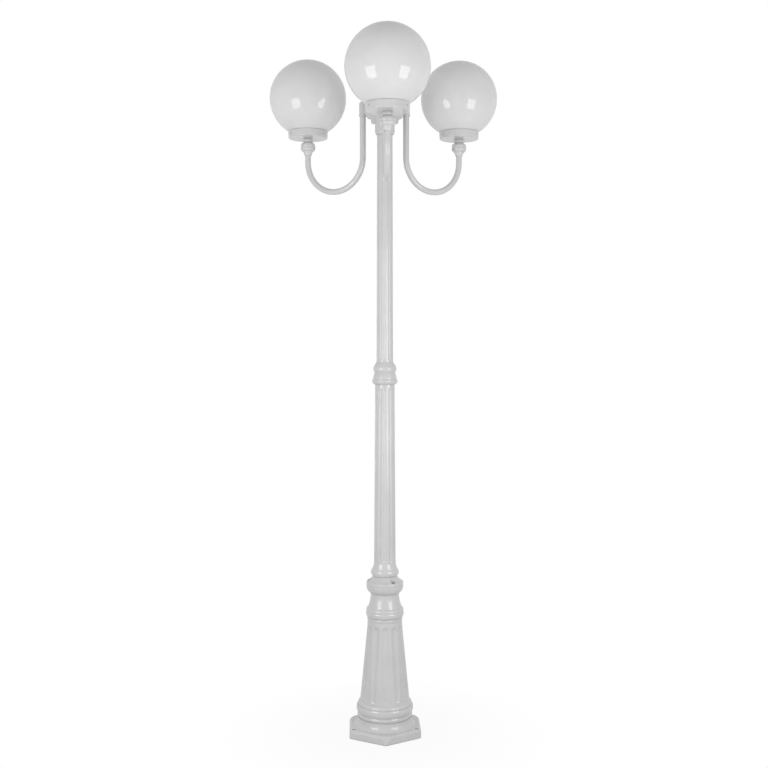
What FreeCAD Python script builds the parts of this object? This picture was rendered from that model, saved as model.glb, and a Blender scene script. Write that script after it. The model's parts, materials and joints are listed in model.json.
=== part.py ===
import FreeCAD, Part
import math
import os
import Sketcher

# A three-headed garden lamp post in painted cast aluminium.
# The frame: origin at the middle of the foot's underside, +Z up the post, -Y towards the front head.
# All sizes are in millimetres, heights and radii as a turner would name them.

SIZES = {
    # hexagonal foot plate
    "plate_flats": 220.0,
    "plate_thickness": 26.0,
    "plate_corner_round": 12.0,
    "plate_edge_round": 8.0,
    "anchor_circle": 223.0,
    "anchor_hole": 12.0,
    "facet_depth": 12.0,
    # skirt, ring and double bead over the plate
    "skirt_foot_radius": 96.0,
    "skirt_rise": 25.6,
    "skirt_top_radius": 85.0,
    "skirt_swell": -4.0,
    "foot_ring_radius": 83.5,
    "foot_ring_rise": 12.4,
    "foot_ring_swell": 2.0,
    "low_bead_radius": 85.5,
    "low_bead_rise": 24.5,
    "low_bead_swell": 3.7,
    "second_bead_radius": 84.0,
    "second_bead_rise": 12.5,
    "second_bead_swell": 2.5,
    # fluted cone
    "cone_foot_radius": 77.0,
    "cone_rise": 248.0,
    "cone_top_radius": 53.3,
    "cone_flute_foot_width": 31.0,
    "cone_flute_top_width": 21.0,
    "cone_flute_depth": 3.5,
    "cone_flute_foot_land": 5.0,
    "cone_flute_top_land": 13.0,
    "flute_count": 12,
    # ring, double bead, hollowed neck and cup on the cone
    "shoulder_ring_rise": 9.6,
    "shoulder_ring_swell": 2.0,
    "shoulder_bead_radius": 57.5,
    "shoulder_bead_rise": 18.4,
    "shoulder_bead_swell": 3.4,
    "shoulder_cap_rise": 13.5,
    "shoulder_cap_swell": 2.6,
    "neck_foot_radius": 52.5,
    "neck_rise": 38.5,
    "neck_top_radius": 43.7,
    "neck_hollow": 1.7,
    "neck_ring_rise": 5.5,
    "neck_ring_swell": 1.4,
    "cup_foot_radius": 46.0,
    "cup_rise": 17.5,
    "cup_radius": 57.4,
    "cup_swell": 2.4,
    "cup_rim_rise": 7.0,
    # the hollow of the pedestal
    "mouth_radius": 90.0,
    "mouth_rise": 16.0,
    "bell_radius": 73.0,
    "ledge_height": 150.0,
    "ledge_outer_radius": 61.0,
    "ledge_inner_radius": 48.0,
    "hollow_top_radius": 34.0,
    "cup_bore_radius": 30.0,
    # lower column: flange, foot bead, fluted shaft
    "flange_edge_rise": 6.0,
    "flange_shoulder_radius": 54.0,
    "flange_shoulder_rise": 5.5,
    "flange_shoulder_swell": 1.2,
    "flange_top_radius": 37.5,
    "flange_top_rise": 15.5,
    "flange_top_hollow": 1.8,
    "column_bead_radius": 39.7,
    "column_bead_rise": 22.0,
    "column_bead_swell": 5.0,
    "column_cove_rise": 18.0,
    "column_cove_hollow": 0.8,
    "lower_foot_radius": 34.0,
    "lower_shaft_rise": 557.5,
    "lower_top_radius": 30.8,
    "lower_bore_radius": 24.0,
    "lower_flute_width": 12.6,
    "lower_flute_depth": 2.6,
    "lower_flute_land": 13.0,
    "register_depth": 12.0,
    # flange screws
    "flange_screw_circle": 94.0,
    "flange_screw_shank": 8.0,
    "flange_screw_length": 20.0,
    "flange_screw_head": 13.0,
    "flange_screw_head_height": 5.0,
    "flange_screw_key": 5.0,
    "flange_screw_key_depth": 3.0,
    "flange_web": 6.0,
    "counterbore": 14.6,
    # collar between the two shafts
    "collar_ring_radius": 33.5,
    "collar_ring_rise": 16.5,
    "collar_ring_swell": 4.5,
    "collar_step_radius": 37.2,
    "collar_cone_rise": 20.0,
    "collar_waist_radius": 32.1,
    "collar_cone_swell": 0.8,
    "collar_bead_rise": 21.0,
    "collar_bead_radius": 33.8,
    "collar_bead_swell": 3.4,
    "collar_top_rise": 11.0,
    "collar_top_radius": 27.2,
    "collar_bore_radius": 11.0,
    "spigot_depth": 40.0,
    # upper column
    "upper_foot_radius": 26.3,
    "upper_shaft_rise": 751.0,
    "upper_top_radius": 24.2,
    "upper_bore_radius": 15.5,
    "upper_flute_width": 9.8,
    "upper_flute_depth": 2.1,
    "upper_flute_land": 6.0,
    "upper_flute_top_land": 52.0,
    # hub with its brackets and bosses
    "socket_depth": 40.0,
    "hub_lip_radius": 27.6,
    "hub_radius": 30.6,
    "hub_lip_rise": 7.0,
    "hub_rise": 115.0,
    "hub_web": 6.0,
    "hub_chamber_radius": 24.0,
    "hub_cable_radius": 9.0,
    "bracket_width": 15.0,
    "bracket_first_rise": 38.0,
    "bracket_first_reach": 44.0,
    "bracket_second_rise": 54.5,
    "bracket_second_reach": 57.6,
    "bracket_top_drop": 10.0,
    "bracket_step_slope": 3.5,
    "boss_radius": 11.6,
    "boss_drop": 27.0,
    "boss_crown": 6.0,
    "boss_ring_radius": 12.9,
    "boss_ring_rise": 6.0,
    "boss_cable_radius": 4.5,
    "boss_turn_radius": 6.0,
    "boss_cover": 1.0,
    # lid of the hub
    "lid_radius": 32.0,
    "lid_edge": 4.0,
    "lid_dome": 9.0,
    "lid_crown_radius": 9.0,
    "lid_spigot": 5.0,
    "lid_wall": 2.5,
    "lid_nut_radius": 7.0,
    "lid_nut_side": 4.0,
    "lid_stud_radius": 3.0,
    # arms
    "head_reach": 284.0,
    "boss_reach": 79.0,
    "arm_radius": 9.5,
    "arm_wall": 1.6,
    "arm_drop": 156.4,
    "arm_rise": 56.4,
    # grub screws that lock the arms and the knobs
    "grub_radius": 2.5,
    "grub_key": 2.5,
    "grub_key_depth": 2.0,
    "arm_grub_drop": 8.0,
    # knob
    "knob_cone_drop": 35.0,
    "knob_cone_foot_radius": 10.9,
    "knob_cone_rise": 14.0,
    "knob_cone_top_radius": 16.2,
    "knob_bead_foot_radius": 18.2,
    "knob_bead_rise": 14.5,
    "knob_groove_radius": 23.0,
    "knob_bead_swell": 2.9,
    "knob_crown_rise": 13.5,
    "knob_crown_radius": 15.6,
    "knob_crown_swell": 3.4,
    "knob_grub_rise": 22.0,
    "knob_washer_radius": 13.5,
    "knob_washer_thickness": 2.5,
    # hollow threaded nipple and its nut
    "nipple_radius": 6.5,
    "nipple_bore_radius": 4.2,
    "nipple_tail": 5.0,
    "nipple_rise": 38.0,
    "nut_flats": 19.0,
    "nut_height": 6.0,
    # fitter
    "fitter_neck_foot_radius": 16.0,
    "fitter_neck_radius": 13.0,
    "fitter_neck_swell": 1.2,
    "fitter_neck_rise": 11.0,
    "fitter_floor_radius": 60.4,
    "fitter_floor": 3.5,
    "fitter_corner_rise": 4.2,
    "fitter_corner_radius": 63.2,
    "fitter_corner_swell": 1.1,
    "fitter_rim_radius": 64.5,
    "fitter_height": 22.6,
    "fitter_wall": 2.8,
    "globe_screw_drop": 10.2,
    "globe_screw_radius": 2.5,
    "globe_screw_slot": 1.0,
    "globe_screw_slot_depth": 1.4,
    # rubber ring
    "gasket_play": 1.9,
    "gasket_width": 9.0,
    "gasket_thickness": 2.5,
    # opal globe
    "globe_radius": 124.0,
    "globe_wall": 2.6,
    "globe_neck_play": 5.4,
    "globe_rim_gap": 0.6,
    # lampholder and bulb
    "holder_foot_radius": 13.0,
    "holder_foot_rise": 9.5,
    "holder_radius": 20.0,
    "holder_rise": 43.0,
    "holder_cavity_radius": 13.6,
    "holder_cavity_depth": 30.0,
    "bulb_cap_radius": 13.2,
    "bulb_cap_rise": 28.0,
    "bulb_neck_rise": 42.0,
    "bulb_radius": 30.0,
    "bulb_neck_swell": 4.0,
    # connection in the pedestal
    "terminal_plate_width": 40.0,
    "terminal_plate_thickness": 2.5,
    "terminal_plate_inset": 2.0,
    "terminal_screw_radius": 2.5,
    "terminal_screw_length": 14.0,
    "terminal_head_radius": 4.7,
    "terminal_head_height": 3.2,
    "terminal_screw_reach": 54.0,
    "block_length": 58.0,
    "block_width": 22.0,
    "block_height": 18.0,
    "block_way": 4.6,
    "block_pitch": 11.5,
    "earth_screw_length": 16.0,
    "earth_washer_radius": 6.0,
    "earth_washer_thickness": 1.6,
    # clearances
    "fit_gap": 0.3,
    "thread_gap": 0.1,
}

HEADS = {"left": 150, "right": 30, "front": -90}
HEAD_COUNT = len(HEADS)
HEXAGON = 6
BLOCK_WAYS = 5
GLOBE_SCREW_ANGLES = {1: 60, 2: 180, 3: 300}
FLANGE_SCREW_ANGLE = 180
QUARTER_ARC = 1 - math.sqrt(0.5)


class Size:
    """A length together with the sheet expression that gives it, kept through sums."""

    def __init__(self, value, text):
        self.value = value
        self.text = text

    def __add__(self, other):
        other = as_size(other)
        return Size(self.value + other.value, "(%s + %s)" % (self.text, other.text))

    def __sub__(self, other):
        other = as_size(other)
        return Size(self.value - other.value, "(%s - %s)" % (self.text, other.text))

    def __mul__(self, other):
        other = as_size(other)
        return Size(self.value * other.value, "(%s * %s)" % (self.text, other.text))

    def __truediv__(self, other):
        other = as_size(other)
        return Size(self.value / other.value, "(%s / %s)" % (self.text, other.text))

    def __neg__(self):
        return Size(-self.value, "(-1 * %s)" % self.text)


def as_size(number):
    """A plain number as a Size."""
    if isinstance(number, Size):
        return number
    return Size(float(number), "%.12g" % number)


def root(size):
    """The square root of a Size."""
    return Size(math.sqrt(size.value), "sqrt(%s)" % size.text)


def length_of(across, up):
    """The length of a step of so much across and so much up."""
    return root(across * across + up * up)


class Sheet:
    """The spreadsheet of driving sizes, each read by its name."""

    def __init__(self, doc, values):
        self.table = doc.addObject("Spreadsheet::Sheet", "Sizes")
        for row, (name, value) in enumerate(values.items(), start=1):
            self.table.set("A%d" % row, name)
            self.table.set("B%d" % row, str(value))
            self.table.setAlias("B%d" % row, name)
            setattr(self, name, Size(float(value), "Sizes.%s" % name))


doc = FreeCAD.newDocument("lamp_post")
size = Sheet(doc, SIZES)
doc.recompute()
SUBPARTS = []


# ---------------------------------------------------------------- helpers

def new_body(label):
    """An empty body for one sub-part."""
    body = doc.addObject("PartDesign::Body", label)
    body.Label = label
    SUBPARTS.append(body)
    return body


def origin_of(body, role):
    """A plane or an axis of the body's own origin."""
    return next(item for item in body.Origin.OriginFeatures if item.Role == role)


def new_sketch(body, plane, lift=None):
    """A sketch on one of the body's origin planes, lifted off it by a size if one is given."""
    sketch = body.newObject("Sketcher::SketchObject", "%s_sketch" % body.Name)
    sketch.AttachmentSupport = (origin_of(body, plane), [""])
    sketch.MapMode = "FlatFace"
    if lift is not None:
        sketch.AttachmentOffset = FreeCAD.Placement(FreeCAD.Vector(0, 0, lift.value), FreeCAD.Rotation())
        sketch.setExpression("AttachmentOffset.Base.z", lift.text)
    return sketch


def tie_point(sketch, item, end, point):
    """Bind a point of the sketch to its two sizes."""
    for kind, length in (("DistanceX", point[0]), ("DistanceY", point[1])):
        index = sketch.addConstraint(Sketcher.Constraint(kind, -1, 1, item, end, length.value))
        sketch.setExpression("Constraints[%d]" % index, length.text)


def vector(point):
    """A sketch point as a FreeCAD vector."""
    return FreeCAD.Vector(point[0].value, point[1].value, 0)


def swollen_middle(start, end, swell):
    """The point where an edge from start to end is, at its middle, so far out to its right."""
    across = end[0] - start[0]
    up = end[1] - start[1]
    length = length_of(across, up)
    return ((start[0] + end[0]) / 2 + up * swell / length,
            (start[1] + end[1]) / 2 - across * swell / length)


def end_at(sketch, item, point):
    """Which end of an edge lies on a point: 1 for its start, 2 for its end."""
    near_start = (sketch.getPoint(item, 1) - vector(point)).Length
    near_end = (sketch.getPoint(item, 2) - vector(point)).Length
    return 1 if near_start < near_end else 2


def draw_loop(sketch, corners):
    """A closed outline. A corner is (across, up) or (across, up, swell of the edge that follows)."""
    corners = [tuple(as_size(number) for number in corner) for corner in corners]
    edges = []
    for corner, following in zip(corners, corners[1:] + corners[:1]):
        if len(corner) == 3:
            middle = swollen_middle(corner, following, corner[2])
            arc = Part.Arc(vector(corner), vector(middle), vector(following))
            edge = sketch.addGeometry(arc, False)
            guide = sketch.addGeometry(Part.Point(vector(middle)), True)
            tie_point(sketch, guide, 1, middle)
            sketch.addConstraint(Sketcher.Constraint("PointOnObject", guide, 1, edge))
        else:
            edge = sketch.addGeometry(Part.LineSegment(vector(corner), vector(following)), False)
        edges.append(edge)
    for number, corner in enumerate(corners):
        before, after = edges[number - 1], edges[number]
        start = end_at(sketch, after, corner)
        sketch.addConstraint(Sketcher.Constraint(
            "Coincident", before, end_at(sketch, before, corner), after, start))
        tie_point(sketch, after, start, corner)


def draw_circle(sketch, centre, radius):
    """A circle with its centre and radius bound."""
    centre = tuple(as_size(number) for number in centre)
    circle = Part.Circle(vector(centre), FreeCAD.Vector(0, 0, 1), radius.value)
    item = sketch.addGeometry(circle, False)
    tie_point(sketch, item, 3, centre)
    index = sketch.addConstraint(Sketcher.Constraint("Radius", item, radius.value))
    sketch.setExpression("Constraints[%d]" % index, radius.text)


def draw_axis(sketch, start, end):
    """A construction line to turn a profile about."""
    start = tuple(as_size(number) for number in start)
    end = tuple(as_size(number) for number in end)
    item = sketch.addGeometry(Part.LineSegment(vector(start), vector(end)), True)
    tie_point(sketch, item, 1, start)
    tie_point(sketch, item, 2, end)


def turn(body, corners, kind="PartDesign::Revolution", axis=None):
    """Turn an outline in the upright X-Z plane about the Z axis, or about an axis of its own."""
    sketch = new_sketch(body, "XZ_Plane")
    if axis:
        draw_axis(sketch, *axis)
    draw_loop(sketch, corners)
    feature = body.newObject(kind, "%s_turned" % body.Name)
    feature.Profile = sketch
    feature.ReferenceAxis = (sketch, ["Axis0"] if axis else ["V_Axis"])
    feature.Angle = 360
    body.Tip = feature
    return feature


def pad(body, plane, lift, height, corners=None, circles=(), both_ways=False, backwards=False):
    """Raise an outline, or circles, off a plane."""
    sketch = new_sketch(body, plane, lift)
    if corners:
        draw_loop(sketch, corners)
    for centre, radius in circles:
        draw_circle(sketch, centre, radius)
    feature = body.newObject("PartDesign::Pad", "%s_pad" % body.Name)
    feature.Profile = sketch
    feature.Midplane = both_ways
    feature.Reversed = backwards
    feature.setExpression("Length", height.text)
    body.Tip = feature
    return feature


def cut(body, plane, lift, depth, corners=None, circles=(), backwards=False, both_ways=False):
    """Cut an outline, or circles, into the body: against the plane's normal, or backwards along it."""
    base = body.Tip
    doc.recompute()
    before = base.Shape.Volume
    sketch = new_sketch(body, plane, lift)
    if corners:
        draw_loop(sketch, corners)
    for centre, radius in circles:
        draw_circle(sketch, centre, radius)
    feature = body.newObject("PartDesign::Pocket", "%s_cut" % body.Name)
    feature.Profile = sketch
    feature.Midplane = both_ways
    feature.Reversed = backwards
    feature.setExpression("Length", depth.text)
    body.Tip = feature
    doc.recompute()
    if not feature.Shape.Volume < before:
        raise RuntimeError("%s: a cut removes nothing" % body.Label)
    return feature


def repeat(body, features, count, axis="Z_Axis"):
    """Repeat features evenly round an axis of the body; count is a number or a bound size."""
    pattern = body.newObject("PartDesign::PolarPattern", "%s_round" % body.Name)
    pattern.Originals = features
    pattern.Axis = (origin_of(body, axis), [""])
    pattern.Angle = 360
    if isinstance(count, Size):
        pattern.setExpression("Occurrences", count.text)
    else:
        pattern.Occurrences = count
    body.Tip = pattern
    return pattern


def hexagon(flats):
    """The corners of a hexagon with its flats facing +X and -X, given from flat to flat."""
    reach = flats / (2 * math.cos(math.pi / HEXAGON))
    angles = [math.pi / 2 + 2 * math.pi * number / HEXAGON for number in range(HEXAGON)]
    return [(reach * math.cos(angle), reach * math.sin(angle)) for angle in angles]


def shifted(corners, across):
    """An outline moved across by a size."""
    return [(across + corner[0],) + tuple(corner[1:]) for corner in corners]


def turn_round_post(body, angle):
    """Turn a body, or a ring of three, round the post's axis."""
    body.Placement = FreeCAD.Placement(FreeCAD.Vector(), FreeCAD.Rotation(FreeCAD.Vector(0, 0, 1), angle))


def place_on_head(body, angle, own_turn):
    """Put a body built on its own axis on a head's axis, turned about it by an angle of its own."""
    across = size.head_reach * math.cos(math.radians(angle))
    along = size.head_reach * math.sin(math.radians(angle))
    rotation = FreeCAD.Rotation(FreeCAD.Vector(0, 0, 1), own_turn)
    body.Placement = FreeCAD.Placement(FreeCAD.Vector(across.value, along.value, 0), rotation)
    body.setExpression("Placement.Base.x", across.text)
    body.setExpression("Placement.Base.y", along.text)


def flute(body, foot, top, foot_width, top_width, depth, count):
    """Round-ended flutes cut along a tapering shaft, from a low end to a high end on its surface."""
    foot_cutter = (foot_width * foot_width / 4 + depth * depth) / (depth * 2)
    top_cutter = (top_width * top_width / 4 + depth * depth) / (depth * 2)
    low = (foot[0] + foot_cutter - depth, foot[1] + foot_width / 2)
    high = (top[0] + top_cutter - depth, top[1] - top_width / 2)
    low_pole = (low[0], low[1] - foot_cutter)
    high_pole = (high[0], high[1] + top_cutter)
    corners = [low_pole + (-foot_cutter * QUARTER_ARC,),
               (low[0] - foot_cutter, low[1]),
               (high[0] - top_cutter, high[1], -top_cutter * QUARTER_ARC),
               high_pole]
    doc.recompute()
    before = body.Tip.Shape.Volume
    groove = turn(body, corners, "PartDesign::Groove", axis=(low_pole, high_pole))
    repeat(body, [groove], count)
    doc.recompute()
    if not body.Tip.Shape.Volume < before:
        raise RuntimeError("%s: the flutes remove nothing" % body.Label)


# ---------------------------------------------------------------- heights up the post

skirt_top = size.plate_thickness + size.skirt_rise
foot_ring_top = skirt_top + size.foot_ring_rise
low_bead_top = foot_ring_top + size.low_bead_rise
cone_foot = low_bead_top + size.second_bead_rise
cone_top = cone_foot + size.cone_rise
shoulder_ring_top = cone_top + size.shoulder_ring_rise
shoulder_bead_top = shoulder_ring_top + size.shoulder_bead_rise
neck_foot = shoulder_bead_top + size.shoulder_cap_rise
neck_top = neck_foot + size.neck_rise
cup_foot = neck_top + size.neck_ring_rise
cup_rim = cup_foot + size.cup_rise
pedestal_top = cup_rim + size.cup_rim_rise

flange_edge_top = pedestal_top + size.flange_edge_rise
flange_shoulder_top = flange_edge_top + size.flange_shoulder_rise
flange_top = flange_shoulder_top + size.flange_top_rise
column_bead_top = flange_top + size.column_bead_rise
lower_shaft_foot = column_bead_top + size.column_cove_rise
lower_shaft_top = lower_shaft_foot + size.lower_shaft_rise

collar_ring_top = lower_shaft_top + size.collar_ring_rise
collar_waist = collar_ring_top + size.collar_cone_rise
collar_bead_top = collar_waist + size.collar_bead_rise
collar_top = collar_bead_top + size.collar_top_rise

upper_shaft_top = collar_top + size.upper_shaft_rise
hub_foot = upper_shaft_top - size.socket_depth
hub_top = hub_foot + size.hub_rise
chamber_floor = upper_shaft_top + size.hub_web
bracket_top = hub_top - size.bracket_top_drop
boss_top = bracket_top + size.boss_crown

arm_top = bracket_top - size.boss_cover - size.boss_turn_radius * 2
arm_bend = arm_top - size.arm_drop
arm_end = arm_bend + size.arm_rise
boss_foot = arm_top - size.boss_drop
grub_height = arm_top - size.arm_grub_drop

knob_foot = arm_end - size.knob_cone_drop
knob_cone_top = knob_foot + size.knob_cone_rise
knob_groove = knob_cone_top + size.knob_bead_rise
knob_top = knob_groove + size.knob_crown_rise
fitter_foot = knob_top + size.knob_washer_thickness
fitter_underside = fitter_foot + size.fitter_neck_rise
fitter_floor = fitter_underside + size.fitter_floor
fitter_rim = fitter_underside + size.fitter_height
globe_screw_height = fitter_rim - size.globe_screw_drop
globe_foot = fitter_floor + size.gasket_thickness + size.fit_gap
nut_top = fitter_floor + size.nut_height
holder_top = nut_top + size.holder_foot_rise + size.holder_rise
holder_cavity_floor = holder_top - size.holder_cavity_depth

plate_corner_reach = size.plate_flats / (2 * math.cos(math.pi / HEXAGON))
anchor_reach = size.anchor_circle / 2
flange_screw_reach = size.flange_screw_circle / 2
counterbore_floor = pedestal_top + size.flange_web
nipple_hole = size.nipple_radius + size.thread_gap
fitter_inner_corner = size.fitter_corner_radius - size.fitter_wall
globe_neck_radius = fitter_inner_corner - size.globe_neck_play
globe_at_rim = size.fitter_rim_radius - size.fitter_wall - size.globe_rim_gap
globe_middle = fitter_rim + root(size.globe_radius * size.globe_radius - globe_at_rim * globe_at_rim)


# ---------------------------------------------------------------- foot and lower column

def build_pedestal():
    """Cast pedestal: hexagonal plate, skirt, beads, fluted cone, neck and cup, hollow inside.

    The three corners of the plate without an anchor hole are cut to a slope that widens upwards.
    """
    body = new_body("pedestal")
    pad(body, "XY_Plane", None, size.plate_thickness, corners=hexagon(size.plate_flats))
    doc.recompute()
    plate = body.Tip
    corners = body.newObject("PartDesign::Fillet", "plate_corners")
    corners.Base = (plate, edge_names(plate.Shape, is_upright))
    corners.setExpression("Radius", size.plate_corner_round.text)
    body.Tip = corners
    doc.recompute()
    rim = body.newObject("PartDesign::Fillet", "plate_rim")
    rim.Base = (corners, edge_names(corners.Shape, is_at_plate_top))
    rim.setExpression("Radius", size.plate_edge_round.text)
    body.Tip = rim
    doc.recompute()
    turn(body, [
        (0, 0),
        (size.skirt_foot_radius, 0),
        (size.skirt_foot_radius, size.plate_thickness, size.skirt_swell),
        (size.skirt_top_radius, skirt_top),
        (size.foot_ring_radius, skirt_top, size.foot_ring_swell),
        (size.foot_ring_radius, foot_ring_top, size.low_bead_swell),
        (size.low_bead_radius, low_bead_top),
        (size.second_bead_radius, low_bead_top, size.second_bead_swell),
        (size.cone_foot_radius, cone_foot),
        (size.cone_top_radius, cone_top, size.shoulder_ring_swell),
        (size.cone_top_radius, shoulder_ring_top, size.shoulder_bead_swell),
        (size.shoulder_bead_radius, shoulder_bead_top, size.shoulder_cap_swell),
        (size.neck_foot_radius, neck_foot, -size.neck_hollow),
        (size.neck_top_radius, neck_top, size.neck_ring_swell),
        (size.neck_top_radius, cup_foot),
        (size.cup_foot_radius, cup_foot, size.cup_swell),
        (size.cup_radius, cup_rim),
        (size.cup_radius, pedestal_top),
        (0, pedestal_top),
    ])
    turn(body, [
        (0, 0),
        (size.mouth_radius, 0),
        (size.mouth_radius, size.mouth_rise),
        (size.bell_radius, skirt_top),
        (size.bell_radius, low_bead_top),
        (size.ledge_outer_radius, size.ledge_height),
        (size.ledge_inner_radius, size.ledge_height),
        (size.hollow_top_radius, neck_top),
        (size.cup_bore_radius, cup_foot),
        (size.cup_bore_radius, pedestal_top),
        (0, pedestal_top),
    ], "PartDesign::Groove")
    facet = cut(body, "YZ_Plane", None, size.plate_flats / 2, both_ways=True, corners=[
        (-plate_corner_reach, 0),
        (-plate_corner_reach - size.facet_depth, 0),
        (-plate_corner_reach - size.facet_depth, size.plate_thickness),
        (-plate_corner_reach + size.facet_depth, size.plate_thickness)])
    repeat(body, [facet], HEXAGON // 2)
    anchor = cut(body, "XY_Plane", size.plate_thickness, size.plate_thickness,
                 circles=[((0, anchor_reach), size.anchor_hole / 2)])
    repeat(body, [anchor], HEXAGON // 2)
    screw_hole = cut(body, "XY_Plane", pedestal_top, size.flange_screw_length,
                     circles=[((-flange_screw_reach, 0), size.flange_screw_shank / 2 + size.thread_gap)])
    repeat(body, [screw_hole], HEAD_COUNT)
    terminal_holes = [((side * size.terminal_screw_reach, 0), size.terminal_screw_radius + size.thread_gap)
                      for side in (as_size(-1), as_size(1))]
    earth_hole = ((0, size.terminal_screw_reach), size.terminal_screw_radius + size.thread_gap)
    cut(body, "XY_Plane", size.ledge_height, size.earth_screw_length, backwards=True,
        circles=terminal_holes + [earth_hole])
    cone_slope = (size.cone_foot_radius - size.cone_top_radius) / size.cone_rise
    low = (size.cone_foot_radius - cone_slope * size.cone_flute_foot_land, cone_foot + size.cone_flute_foot_land)
    high = (size.cone_top_radius + cone_slope * size.cone_flute_top_land, cone_top - size.cone_flute_top_land)
    flute(body, low, high, size.cone_flute_foot_width, size.cone_flute_top_width,
          size.cone_flute_depth, size.flute_count)


def edge_names(shape, test):
    """The names of the edges that pass a test."""
    return ["Edge%d" % number for number, edge in enumerate(shape.Edges, start=1) if test(edge)]


def is_upright(edge):
    """Whether an edge runs straight up."""
    first, last = edge.Vertexes[0].Point, edge.Vertexes[-1].Point
    return abs(first.x - last.x) + abs(first.y - last.y) < 1e-6


def is_at_plate_top(edge):
    """Whether an edge lies in the plate's top."""
    return all(abs(corner.Z - size.plate_thickness.value) < 1e-6 for corner in edge.Vertexes)


def build_lower_column():
    """Cast column with its flange, register, foot bead and flutes, bored for the cable."""
    body = new_body("lower_column")
    register_foot = pedestal_top - size.register_depth
    register_radius = size.cup_bore_radius - size.fit_gap
    turn(body, [
        (size.lower_bore_radius, register_foot),
        (register_radius, register_foot),
        (register_radius, pedestal_top),
        (size.cup_radius, pedestal_top),
        (size.cup_radius, flange_edge_top, size.flange_shoulder_swell),
        (size.flange_shoulder_radius, flange_shoulder_top, -size.flange_top_hollow),
        (size.flange_top_radius, flange_top, size.column_bead_swell),
        (size.column_bead_radius, column_bead_top, -size.column_cove_hollow),
        (size.lower_foot_radius, lower_shaft_foot),
        (size.lower_top_radius, lower_shaft_top),
        (size.lower_bore_radius, lower_shaft_top),
    ])
    hole_at = (-flange_screw_reach, 0)
    hole = cut(body, "XY_Plane", counterbore_floor, size.flange_web,
               circles=[(hole_at, size.flange_screw_shank / 2 + size.fit_gap)])
    counterbore = cut(body, "XY_Plane", counterbore_floor, flange_top - counterbore_floor,
                      circles=[(hole_at, size.counterbore / 2)], backwards=True)
    repeat(body, [hole, counterbore], HEAD_COUNT)
    slope = (size.lower_foot_radius - size.lower_top_radius) / size.lower_shaft_rise
    land = size.lower_flute_land
    low = (size.lower_foot_radius - slope * land, lower_shaft_foot + land / 3)
    high = (size.lower_top_radius + slope * land, lower_shaft_top - land)
    flute(body, low, high, size.lower_flute_width, size.lower_flute_width,
          size.lower_flute_depth, size.flute_count)


def socket_screw(body, reach, head_seat, shank, length, head, head_height, key, key_depth):
    """One socket screw upright at a reach from the post's axis, with its head's seat at a height."""
    foot = head_seat - length
    top = head_seat + head_height
    axis = ((reach, foot), (reach, top))
    shape = turn(body, [
        (reach, foot),
        (reach + shank, foot),
        (reach + shank, head_seat),
        (reach + head, head_seat),
        (reach + head, top),
        (reach, top),
    ], axis=axis)
    socket = cut(body, "XY_Plane", top, key_depth, corners=shifted(hexagon(key), reach))
    return [shape, socket]


def build_flange_screws():
    """Three low-headed socket screws that hold the column's flange to the cup."""
    body = new_body("flange_screws")
    length = size.flange_screw_length - size.fit_gap
    features = socket_screw(body, flange_screw_reach, counterbore_floor, size.flange_screw_shank / 2,
                            length, size.flange_screw_head / 2, size.flange_screw_head_height,
                            size.flange_screw_key, size.flange_screw_key_depth)
    repeat(body, features, HEAD_COUNT)
    turn_round_post(body, FLANGE_SCREW_ANGLE)


def build_joint_collar():
    """Turned collar with a spigot down into the lower shaft and one up into the upper shaft."""
    body = new_body("joint_collar")
    low_spigot = size.lower_bore_radius - size.fit_gap
    high_spigot = size.upper_bore_radius - size.fit_gap
    turn(body, [
        (size.collar_bore_radius, lower_shaft_top - size.spigot_depth),
        (low_spigot, lower_shaft_top - size.spigot_depth),
        (low_spigot, lower_shaft_top),
        (size.collar_ring_radius, lower_shaft_top, size.collar_ring_swell),
        (size.collar_step_radius, collar_ring_top, size.collar_cone_swell),
        (size.collar_waist_radius, collar_waist, size.collar_bead_swell),
        (size.collar_bead_radius, collar_bead_top),
        (size.collar_top_radius, collar_top),
        (high_spigot, collar_top),
        (high_spigot, collar_top + size.spigot_depth),
        (size.collar_bore_radius, collar_top + size.spigot_depth),
    ])


def build_upper_column():
    """Thinner fluted shaft between the collar and the hub."""
    body = new_body("upper_column")
    turn(body, [
        (size.upper_bore_radius, collar_top),
        (size.upper_foot_radius, collar_top),
        (size.upper_top_radius, upper_shaft_top),
        (size.upper_bore_radius, upper_shaft_top),
    ])
    slope = (size.upper_foot_radius - size.upper_top_radius) / size.upper_shaft_rise
    low = (size.upper_foot_radius - slope * size.upper_flute_land, collar_top + size.upper_flute_land)
    high = (size.upper_top_radius + slope * size.upper_flute_top_land,
            upper_shaft_top - size.upper_flute_top_land)
    flute(body, low, high, size.upper_flute_width, size.upper_flute_width,
          size.upper_flute_depth, size.flute_count)


# ---------------------------------------------------------------- hub and arms

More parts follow.
